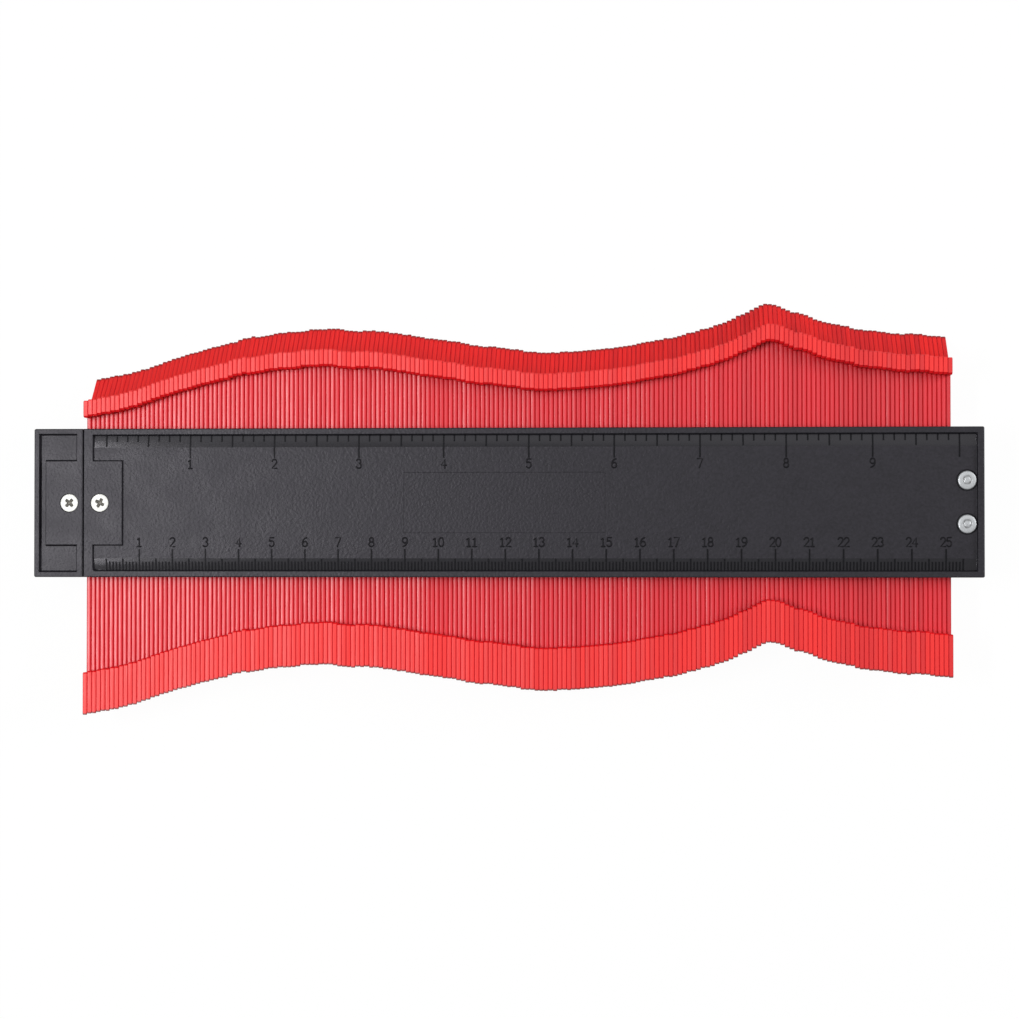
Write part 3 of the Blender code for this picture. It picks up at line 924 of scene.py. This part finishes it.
@dataclass
class Graduations:
    """The moulded ticks of one face: raised ribs with sloping sides that follow the sunk surface."""

    face: RulerFace
    rib_width: float = 0.52 * MM
    fine_width: float = 0.50 * MM
    rib_height: float = 0.14 * MM
    rib_root: float = 0.06 * MM
    draft: float = 0.06 * MM
    sharp_angle: float = 30.0
    finish: PolishedCharcoal = PolishedCharcoal()

    def ribs(self, places: Array, inner: float, width: float, sense: int) -> Shape:
        """Raise one row of ticks.

        A rib is a four-cornered section, wide at its root and narrower at its crest, carried
        across the face through five stations; at the first and the last one the crest comes down
        to the root's level. The third is where strip and floor meet, if the rib reaches that far.

        Args:
            places: The ticks' distances from the scale's zero.
            inner: How far from the middle line they start.
            width: The ribs' width at the root.
            sense: The side of the middle line that they are on.

        Returns:
            The points on the face, and the quads.
        """
        outer, draft = self.face.strip_outer, self.draft
        knee = min(max(self.face.strip_inner, inner + 2 * draft), outer - 2 * draft)
        across = np.array([inner, inner + draft, knee, outer - draft, outer])
        lift = np.array([0.0, 1.0, 1.0, 1.0, 0.0])
        half, crest = width / 2, width / 2 - draft
        section_x, section_z = np.array([(-half, 0.0), (-crest, 1.0), (crest, 1.0), (half, 0.0)]).T
        points = np.empty((len(places), len(across), len(section_x), 3))
        points[..., 0] = places[:, None, None] + section_x
        points[..., 1] = sense * across[:, None]
        raised = lift[:, None] * section_z * (self.rib_height + self.rib_root) - self.rib_root
        points[..., 2] = raised - self.face.depth(across)[:, None]
        one = np.vstack(loft_faces(len(across), len(section_x)))
        stride = len(across) * len(section_x)
        return points.reshape(-1, 3), repeat_faces([one], len(places), stride)

    def scale_ribs(self, scale: Scale) -> list[Shape]:
        """Raise the rows of a scale's ticks: its fine parts, halves, whole units and zero.

        Args:
            scale: The scale.

        Returns:
            One shape a row.
        """
        count = np.arange(scale.ticks + 1)
        places = count * (scale.unit / scale.parts)
        whole, half = count % scale.parts == 0, count % (scale.parts // 2) == 0
        starts = np.array([scale.part_start, scale.half_start]) * self.face.strip_width
        part_inner, half_inner = self.face.strip_inner + starts
        return [
            self.ribs(places[~half], part_inner, self.fine_width, scale.sense),
            self.ribs(places[half & ~whole], half_inner, self.rib_width, scale.sense),
            self.ribs(places[whole][1:], scale.unit_inner, self.rib_width, scale.sense),
            self.ribs(places[:1], half_inner, self.rib_width, scale.sense),
        ]

    def build(self) -> None:
        """Build and dress the ticks of both scales."""
        material = self.finish.material(f"{self.face.name}_tick_polish")
        for scale in SCALES:
            self.face.add_marks(f"{scale.name}_ticks", self.scale_ribs(scale), self.sharp_angle, material)


# The numerals, drawn as a pantograph engraver draws them: single strokes of one width


def arc(centre: Span, radii: Span, start: float, end: float, count: int) -> Array:
    """Points evenly along an elliptical arc: centre + radii times (cos, sin) of an angle in degrees."""
    angle = np.radians(np.linspace(start, end, count))
    return np.array(centre) + np.array(radii) * np.stack([np.cos(angle), np.sin(angle)], axis=1)


def line(*points: Span) -> Array:
    """The given points as a stroke of straight lines."""
    return np.array(points, float)


CELL_WIDTH = 0.56


def numeral_strokes() -> dict[str, list[Array]]:
    """The strokes of each numeral in a cell CELL_WIDTH wide and 1 high, from its lower left corner."""
    wide, middle = CELL_WIDTH, CELL_WIDTH / 2
    lower, upper = 0.29, 0.755
    two = [arc((middle, 0.73), (0.26, 0.27), 165, -35, 11), line((0.02, 0.0), (wide, 0.0))]
    three = [arc((0.26, upper), (0.25, 0.245), 150, -80, 11), arc((0.26, 0.265), (0.28, 0.265), 80, -150, 12)]
    five = [line((0.50, 1.0), (0.10, 1.0), (0.06, 0.56)), arc((0.27, 0.32), (0.27, 0.32), 120, -145, 13)]
    six = [arc((wide, 0.42), (0.54, 0.58), 100, 180, 8), arc((middle, lower), (0.27, lower), 180, 525, 17)]
    loop, bowl = (0.22, 0.245), (0.27, 0.26)
    eight = [arc((middle, upper), loop, -90, 270, 15), arc((middle, 0.26), bowl, 90, 450, 17)]
    nine = [arc((0.0, 0.58), (0.54, 0.58), -80, 0, 8), arc((middle, 1 - lower), (0.27, lower), 0, 345, 17)]
    return {
        "0": [arc((middle, 0.5), (0.27, 0.5), 90, 450, 21)],
        "1": [line((0.10, 0.80), (middle, 1.0), (middle, 0.0)), line((0.10, 0.0), (0.46, 0.0))],
        "2": [np.vstack(two)],
        "3": [np.vstack(three)],
        "4": [line((0.42, 0.0), (0.42, 1.0), (0.0, 0.30), (wide, 0.30))],
        "5": [np.vstack(five)],
        "6": [np.vstack(six)],
        "7": [line((0.02, 1.0), (wide, 1.0), (0.20, 0.0))],
        "8": eight,
        "9": [np.vstack(nine)],
    }


@dataclass
class Numerals:
    """The numbers of one face, raised as round-topped strokes."""

    face: RulerFace
    height: float = 2.65 * MM
    advance: float = 1.78 * MM
    stroke_width: float = 0.56 * MM
    stroke_height: float = 0.12 * MM
    root: float = 0.05 * MM
    section: int = 5
    end_reach: tuple[float, ...] = (0.98, 0.7)
    sharp_angle: float = 60.0
    finish: PolishedCharcoal = PolishedCharcoal()

    def stroke(self, path: Array) -> Shape:
        """Raise one stroke along its path.

        A half-round section stands across the path at each of its points, along the mean of the
        normals before and after it. Two more stations past each end narrow to a point as a circle
        does, so the ends are round. The whole lies below the rim by the depth of the floor.

        Args:
            path: The stroke's (along, across) points.

        Returns:
            The points on the face, and the quads and end polygons.
        """
        half = self.stroke_width / 2
        start, end = unit(np.stack([path[0] - path[1], path[-1] - path[-2]])) * half
        reach = np.array(self.end_reach)[:, None]
        path = np.vstack([path[0] + start * reach, path, path[-1] + end * reach[::-1]])
        narrow = np.sqrt(1 - reach[:, 0] ** 2)
        shares = np.concatenate([narrow, np.ones(len(path) - 2 * len(reach)), narrow[::-1]])
        tangent = unit(np.gradient(path, axis=0))
        normal = np.stack([-tangent[:, 1], tangent[:, 0]], axis=1)
        angle = np.linspace(0, math.pi, self.section)
        side, lift = np.cos(angle) * half, np.sin(angle) * (self.stroke_height + self.root) - self.root
        points = np.empty((len(path), self.section, 3))
        points[..., :2] = path[:, None] + normal[:, None] * (shares[:, None] * side)[..., None]
        points[..., 2] = lift * shares[:, None] - self.root * (1 - shares[:, None]) - self.face.floor_depth
        return points.reshape(-1, 3), loft_faces(len(path), self.section)

    def number(self, value: int, scale: Scale) -> list[Array]:
        """The strokes of one number, centred on its place along its scale.

        Args:
            value: The number.
            scale: The scale.

        Returns:
            The strokes' paths on the face.
        """
        digits, strokes = str(value), numeral_strokes()
        width = self.advance * (len(digits) - 1) + CELL_WIDTH * self.height
        starts = value * scale.unit - width / 2 + self.advance * np.arange(len(digits))
        low, placed = scale.numbers_low, zip(digits, starts)
        return [path * self.height + (start, low) for digit, start in placed for path in strokes[digit]]

    def build(self) -> None:
        """Build and dress the numbers of both scales."""
        material = self.finish.material(f"{self.face.name}_numeral_polish")
        for scale in SCALES:
            values = range(1, scale.numbers + 1)
            shapes = [self.stroke(path) for value in values for path in self.number(value, scale)]
            self.face.add_marks(f"{scale.name}_numbers", shapes, self.sharp_angle, material)


# Fasteners


def turn_piece(
    name: str, centre: Vector, sense: int, marked: tuple[Array, Array, Array], plain: tuple[Array, Array]
) -> Piece:
    """Turn a fastener about Z: rings whose height changes round the turn, and then even ones.

    A point is (radius cos a, radius sin a, height) for the profile's rings and even angles a. The
    first and the last ring are closed by one polygon each.

    Args:
        name: The piece's name.
        centre: Where the profile's radius and height are zero.
        sense: 1 if heights go up, -1 if they go down.
        marked: The first rings' radii, their heights and how far they are darkened (painted shade in a
            screw's recess, a darker peening mark on a rivet), one row a ring.
        plain: The even rings' radii and heights.

    Returns:
        The piece.
    """
    marked_radii, marked_heights, grime = marked
    around = marked_heights.shape[1]
    radii = np.concatenate([marked_radii, plain[0]])[:, None]
    heights = np.vstack([marked_heights, np.repeat(plain[1][:, None], around, axis=1)])
    angle = even_angles(around)
    points = np.stack([radii * np.cos(angle), radii * np.sin(angle), sense * heights], axis=-1)
    points += np.array(centre)
    piece = build_piece(name, points.reshape(-1, 3), loft_faces(len(radii), around))
    undarkened = np.zeros((len(plain[0]), around))
    # How far each point is darkened: painted shade in a screw's recess, a darker peening mark on a rivet
    write_attribute(piece, SHADE_AND_DARK_MARK, "POINT", np.vstack([np.clip(grime, 0.0, 1.0), undarkened]))
    return piece


@dataclass
class CrossScrews:
    """The four countersunk cross-head screws."""

    head_radius: float = 2.675 * MM
    head_lip: float = 0.3 * MM
    edge_cut: float = 0.03 * MM
    edge_step: float = 0.12 * MM
    shank_radius: float = 1.45 * MM
    closing_radius: float = 0.2 * MM
    crown: float = 0.07 * MM
    arm_length: float = 1.50 * MM
    arm_width: float = 0.72 * MM
    arm_soft: float = 0.14 * MM
    arm_taper: float = 0.6
    core_edge: Span = (0.45 * MM, 0.75 * MM)
    core_share: float = 0.9
    recess_depth: float = 0.60 * MM
    # Where painted shade darkens the cross recess, along the arms and in the middle
    grime_edge: Span = (-0.6 * MM, 0.9 * MM)
    core_grime: float = 0.35
    recess_rings: tuple[float, float, int] = (0.03 * MM, 1.6 * MM, 27)
    outer_ring: float = 1.75 * MM
    outer_rings: int = 5
    around: int = 96
    turns: tuple[float, ...] = (43.0, 28.0, 5.0, 63.0)
    sharp_angle: float = 40.0
    finish: PlatedMetal = BRIGHT_SCREW

    def recess(self, x: Array, y: Array) -> tuple[Array, Array]:
        """How deep the cross recess is at a place on the head, and how much painted shade it gets.

        A place is in the cross where its distance from the nearer arm's middle line is under half
        the arm's width and its distance along that arm is under the arm's length. The depth falls
        off towards the arms' ends, as a tapered driver leaves it. Painted shade darkens the recess:
        some in the middle, and most towards the arms' ends.

        Args:
            x: Distance along the first arm.
            y: Distance along the second arm.

        Returns:
            The depth, and the painted shade.
        """
        along, beside = np.maximum(np.abs(x), np.abs(y)), np.minimum(np.abs(x), np.abs(y))
        edge = self.arm_width / 2
        inside = 1 - smooth_step(beside, edge - self.arm_soft, edge + self.arm_soft)
        inside *= 1 - smooth_step(along, self.arm_length - 2 * self.arm_soft, self.arm_length)
        taper = 1 - self.arm_taper * np.clip(along / self.arm_length, 0, 1)
        core = 1 - smooth_step(np.hypot(x, y), *self.core_edge)
        depth = self.recess_depth * np.maximum(inside * taper, core * self.core_share)
        # The recess's depth, and its painted shade
        return depth, inside * smooth_step(along, *self.grime_edge) + self.core_grime * core

    def build_screw(self, node: str, turn: float) -> Piece:
        """Build one screw in its node's place.

        The head's top is a grid of rings and angles whose height is a shallow crown less the
        recess; below it the rings go down the lip, the cone and the shank.

        Args:
            node: The node's name.
            turn: How far the recess is turned, in degrees.

        Returns:
            The piece.
        """
        low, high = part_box(node)
        side = Side.FRONT if node.startswith("front") else Side.REAR
        centre = (low + high) / 2
        centre.z = high.z if side is Side.FRONT else low.z
        length = high.z - low.z
        head, shank = self.head_radius, self.shank_radius
        outer_rings = np.linspace(self.outer_ring, head - self.edge_step, self.outer_rings)
        face_radii = np.concatenate([np.linspace(*self.recess_rings), outer_rings])
        column = face_radii[:, None]
        angle = even_angles(self.around) + math.radians(turn)
        depth, grime = self.recess(column * np.cos(angle), column * np.sin(angle))
        face = -self.crown * (column / head) ** 2 - depth
        cone_end = self.head_lip + head - shank
        profile = [
            (head - self.edge_cut, self.crown + self.edge_cut),
            (head, self.crown + self.edge_step),
            (head, self.head_lip),
            (shank, cone_end),
            (shank, length),
            (self.closing_radius, length),
        ]
        radii, drops = np.array(profile).T
        marked = (face_radii, face, grime)
        piece = turn_piece(f"{node}_cross_head", centre, side.value, marked, (radii, -drops))
        shade(piece, self.sharp_angle)
        return piece

    def build(self) -> None:
        """Build and dress the screws of both faces."""
        material = self.finish.material("bright_screw")
        nodes = sorted(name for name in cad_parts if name.endswith("_screw"))
        for node, turn in zip(nodes, self.turns):
            settle(self.build_screw(node, turn), [material], node)


@dataclass
class PeenedRivets:
    """The two rivets through the end wall: a plain rear head, and a front one closed by peening."""

    head_radius: float = 2.8 * MM
    shank_radius: float = 1.5 * MM
    head_height: float = 1.2 * MM
    edge_round: float = 0.5 * MM
    edge_rings: int = 6
    crown: float = 0.12 * MM
    mark_radius: float = 1.75 * MM
    mark_depth: float = 0.16 * MM
    # How much darker the head is coloured at the peening mark's deepest
    mark_grime: float = 0.75
    groove_radius: float = 0.64
    groove_wander: float = 0.10
    groove_width: float = 0.17
    depth_range: Span = (0.75, 0.5)
    waves: tuple[int, int] = (2, 7)
    flat_rings: int = 24
    flat_reach: float = 1.2
    rear_step: int = 6
    first_ring: float = 0.04 * MM
    around: int = 72
    seed: int = 5
    sharp_angle: float = 50.0
    finish: PlatedMetal = PEENED_ALUMINIUM

    def peen_mark(self, radius: Array, chance: np.random.Generator) -> Array:
        """How deep the peening tool has marked the head.

        A ring-shaped groove with a blunt hill in the middle; its radius and depth wander with a
        few random waves round the turn, as uneven blows leave them.

        Args:
            radius: One radius a ring, as a column.
            chance: The source of the waves.

        Returns:
            One row of depths a ring.
        """
        angle, order = even_angles(self.around), np.arange(*self.waves)[:, None]
        phases = chance.random(order.shape) * 2 * math.pi
        sizes = chance.random(order.shape) / order
        wander = np.sum(sizes * np.cos(order * angle + phases), axis=0)
        groove = self.mark_radius * (self.groove_radius + self.groove_wander * wander)
        width = self.mark_radius * self.groove_width
        deep, deeper = self.depth_range
        waves = np.sum(sizes * np.sin(order * angle - phases), axis=0)
        return self.mark_depth * (deep + deeper * waves) * np.exp(-(((radius - groove) / width) ** 2))

    def build_rivet(self, node: str, chance: np.random.Generator) -> Piece:
        """Build one rivet in its node's place, from the marked front head down to the plain rear one.

        Args:
            node: The node's name.
            chance: The source of the peening mark's waves.

        Returns:
            The piece.
        """
        low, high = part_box(node)
        half = (high.z - low.z) / 2
        head, shank = self.head_radius, self.shank_radius
        quarter = np.radians(np.linspace(90, 0, self.edge_rings))
        edge_radii = head - self.edge_round * (1 - np.cos(quarter))
        edge_drop = self.crown + self.edge_round * (1 - np.sin(quarter))
        flat = np.linspace(self.first_ring, self.mark_radius * self.flat_reach, self.flat_rings)
        front = -self.crown * (flat / edge_radii[0]) ** 2
        mark = self.peen_mark(flat[:, None], chance)
        seat = half - self.head_height
        rear = slice(None, None, -self.rear_step)
        radii = np.concatenate([edge_radii, [head, shank, shank, head], edge_radii[::-1], flat[rear]])
        heights = [half - edge_drop, [seat, seat, -seat, -seat], edge_drop[::-1] - half, -half - front[rear]]
        # The mark is coloured darker where it is deeper
        marked = (flat, half + (front[:, None] - mark), mark / self.mark_depth * self.mark_grime)
        plain = (radii, np.concatenate(heights))
        piece = turn_piece(f"{node}_head", (low + high) / 2, Side.FRONT.value, marked, plain)
        shade(piece, self.sharp_angle)
        return piece

    def build(self) -> None:
        """Build and dress both rivets."""
        chance = np.random.default_rng(self.seed)
        material = self.finish.material("peened_aluminium")
        for node in ("lower_rivet", "upper_rivet"):
            settle(self.build_rivet(node, chance), [material], node)


def dress_joiner_plates() -> None:
    """Give the hidden joiner plates, whose nodes stay as they are, their steel."""
    material = JOINER_STEEL.material("joiner_steel")
    for node in ("front_joiner_plate", "rear_joiner_plate"):
        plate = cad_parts[node]
        plate.data.materials.clear()
        dress(plate, [material])


# The studio


@dataclass(frozen=True)
class Lamp:
    """A soft rectangular light that looks at the gauge: its place, its size in metres, its power."""

    name: str
    place: Triple
    size: Span
    watts: float

    def add(self) -> None:
        """Hang the lamp."""
        data = bpy.data.lights.new(self.name, "AREA")
        data.shape = "RECTANGLE"
        data.size, data.size_y = self.size
        data.energy = self.watts
        lamp = add_object(self.name, data)
        lamp.location = self.place
        lamp.rotation_euler = (-Vector(self.place)).to_track_quat("-Z", "Y").to_euler()


@dataclass
class Studio:
    """A pale floor, soft light that is strongest from the left, and the camera above the gauge."""

    frame_pixels: int = 1019
    focal_pixels: float = 2459.6
    sensor_width: float = 36.0
    camera_distance: float = 740.0 * MM
    turn: float = -3.35
    tilt: float = -0.9
    shift_x: float = -1.07 * MM
    shift_y: float = 1.95 * MM
    floor_size: float = 8.0
    floor_drop: float = 0.05 * MM
    floor_glow: float = 0.97
    floor_colour: Colour = (0.90, 0.90, 0.90)
    world_level: float = 0.22
    lamps: tuple[Lamp, ...] = (
        Lamp("key_light", place=(-0.35, 0.0, 0.66), size=(0.30, 0.08), watts=3.8),
        Lamp("side_light", place=(0.80, 0.20, 0.42), size=(0.40, 0.40), watts=5.8),
        Lamp("fill_light", place=(0.06, 0.26, 0.75), size=(0.75, 0.30), watts=0.70),
    )

    def add_camera(self) -> None:
        """Place the camera where the photograph was taken from.

        In the camera's view the gauge is turned about the image's upright axis and tilted about
        its level one. The camera stands at the inverse of that turn, a distance out from the
        middle of the housing.
        """
        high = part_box("front_shell")[1]
        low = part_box("end_block")[0]
        tilt, turn = math.radians(self.tilt), math.radians(self.turn)
        seen = Matrix.Rotation(tilt, 4, "X") @ Matrix.Rotation(turn, 4, "Y")
        standing = Matrix.Translation((-self.shift_x, -self.shift_y, self.camera_distance))
        data = bpy.data.cameras.new("view_from_above")
        data.sensor_width = self.sensor_width
        data.lens = self.focal_pixels / self.frame_pixels * self.sensor_width
        data.clip_start, data.clip_end = 0.01, 100.0
        camera = add_object("view_from_above", data)
        camera.matrix_world = Matrix.Translation((low + high) / 2) @ seen.transposed() @ standing
        bpy.context.scene.camera = camera

    def level(self, sketch: NodeSketch, unseen: float, seen: float) -> Socket:
        """A level that changes where a surface is seen directly, in a reflection or through glass.

        Args:
            sketch: The nodes it is laid out in.
            unseen: The level for the rays that only carry light.
            seen: The level for the rays that see the surface.

        Returns:
            The level.
        """
        rays = sketch.nodes.new("ShaderNodeLightPath").outputs
        total = rays["Is Camera Ray"]
        for name in ("Is Glossy Ray", "Is Transmission Ray"):
            total = sketch.add("Math", {0: total, 1: rays[name]}, operation="ADD", use_clamp=True)
        return sketch.add("MapRange", {"Value": total, "To Min": unseen, "To Max": seen}, "Result")

    def add_world(self) -> None:
        """Light the scene evenly from all round, with a white background where it is seen."""
        world = bpy.data.worlds.new("studio")
        bpy.context.scene.world = world
        sketch = NodeSketch(world)
        strength = self.level(sketch, self.world_level, 1.0)
        sketch.feed(sketch.nodes["Background"], {"Color": WHITE, "Strength": strength})

    def add_floor(self) -> None:
        """Lay a pale floor that is white where it is seen and still takes the gauge's soft shadow."""
        x = np.array([-1, 1, 1, -1]) * self.floor_size / 2
        points = np.stack([x, np.roll(x, 1), np.full(4, -self.floor_drop)], axis=1)
        floor = build_piece("floor", points, [np.arange(4)[None]])
        sketch = NodeSketch(bpy.data.materials.new("pale_floor"))
        sketch.nodes.remove(sketch.nodes["Principled BSDF"])
        share = self.level(sketch, 0.0, self.floor_glow)
        matt = sketch.add("BsdfDiffuse", {"Color": self.floor_colour}, "BSDF")
        shader = sketch.add("MixShader", {0: share, 1: matt, 2: sketch.add("Emission", {})}, "Shader")
        sketch.feed(sketch.nodes["Material Output"], {"Surface": shader})
        floor.data.materials.append(sketch.owner)

    def build(self) -> None:
        """Set up the whole studio."""
        self.add_camera()
        self.add_world()
        self.add_floor()
        for lamp in self.lamps:
            lamp.add()
        bpy.context.scene.view_settings.view_transform = "Standard"


def main() -> None:
    """Build the gauge's sub-assemblies in order and set up the studio."""
    logging.basicConfig(level=logging.INFO, format="%(message)s")
    Studio().build()
    Housing().build()
    for side in Side:
        face = RulerFace(side)
        Graduations(face).build()
        Numerals(face).build()
    CrossScrews().build()
    PeenedRivets().build()
    dress_joiner_plates()
    LeafStack().build()


if __name__ == "__main__":
    main()
